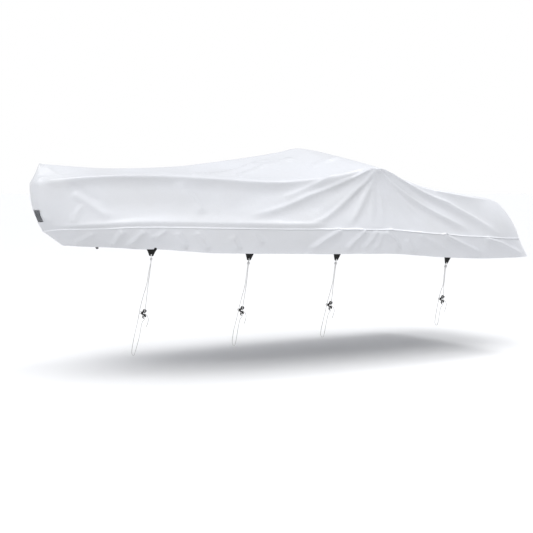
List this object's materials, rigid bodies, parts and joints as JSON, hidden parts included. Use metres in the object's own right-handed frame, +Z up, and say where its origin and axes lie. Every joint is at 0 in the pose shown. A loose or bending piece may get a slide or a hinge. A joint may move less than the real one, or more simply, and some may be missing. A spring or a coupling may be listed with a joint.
{
  "type": "boat cover",
  "caption": "Fitted cloth cover for a trailered cabin boat: a hollow draped shell with a skirt band, tie tabs, tie ropes and rope tensioners.",
  "frame": {"origin": "underside of the cloth at its highest point, on the centreline, where the boat holds the cover up", "axes": "+X along the boat from bow to stern, +Y to starboard, +Z up"},
  "size_m": [6.8498, 2.4405, 2.4724],
  "materials": {
    "cloth": "white coated polyester cloth, satin",
    "webbing": "black reinforced webbing, dull",
    "rope": "white braided polyester",
    "plastic": "black moulded plastic"
  },
  "bodies": {
    "root": {"cover_port": "cloth", "cover_starboard": "cloth", "skirt_port": "cloth", "skirt_starboard": "cloth", "tab_port_1": "webbing", "tab_port_2": "webbing", "tab_port_3": "webbing", "tab_port_4": "webbing", "tab_starboard_1": "webbing", "tab_starboard_2": "webbing", "tab_starboard_3": "webbing", "tab_starboard_4": "webbing", "rope_long_1": "rope", "rope_long_2": "rope", "rope_long_3": "rope", "rope_long_4": "rope", "rope_short_1": "rope", "rope_short_2": "rope", "rope_short_3": "rope", "rope_short_4": "rope", "knot_1": "rope", "knot_2": "rope", "knot_3": "rope", "knot_4": "rope", "tensioner_1": "plastic", "tensioner_2": "plastic", "tensioner_3": "plastic", "tensioner_4": "plastic"}
  },
  "joints": []
}
